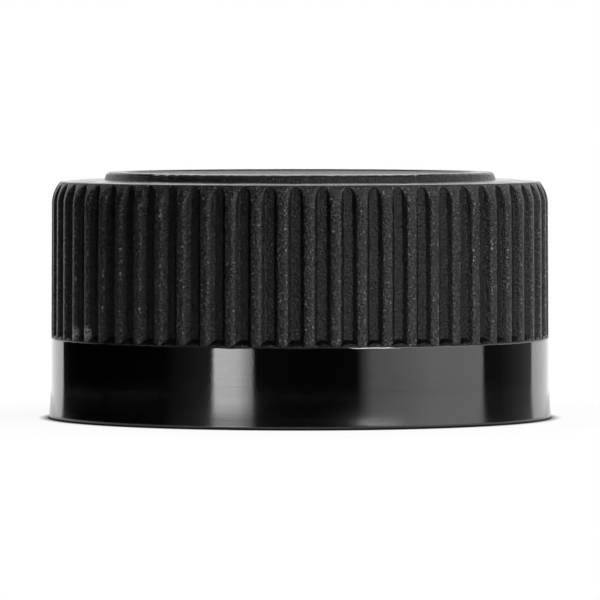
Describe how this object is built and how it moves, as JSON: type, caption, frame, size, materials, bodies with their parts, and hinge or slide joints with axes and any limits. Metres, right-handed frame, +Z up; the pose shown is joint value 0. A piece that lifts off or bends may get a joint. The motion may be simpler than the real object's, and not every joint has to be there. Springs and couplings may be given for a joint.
{
  "type": "child-resistant cap",
  "caption": "Black ribbed push-down-and-turn bottle cap: an outer shell, held on a threaded inner cap with a sealing liner and a spring ring.",
  "frame": {"origin": "centre of the plane that the shell's rim stands on", "axes": "+Z up along the cap's axis, from the open rim towards the closed top"},
  "size_m": [0.0382, 0.0382, 0.0187],
  "materials": {
    "shell": "fine spark-eroded grain on the ribs and top, polished lower band",
    "inner_cap": "plain moulded",
    "liner": "soft foamed sheet",
    "spring": "plain moulded, natural colour"
  },
  "bodies": {
    "inner_cap": {"inner_cap": "inner_cap", "liner": "liner"},
    "spring": {"spring": "spring"},
    "outer_shell": {"outer_shell": "shell"}
  },
  "joints": [
    {"name": "spin", "type": "hinge", "parent": "inner_cap", "child": "spring", "pos_m": [0, 0, 0], "axis": [0, 0, 1], "continuous": true},
    {"name": "push_down", "type": "slide", "parent": "spring", "child": "outer_shell", "axis": [0, 0, -1], "range_m": [0, 0.0012], "stiffness_N_per_m": 8000, "deforming": ["spring"]}
  ]
}
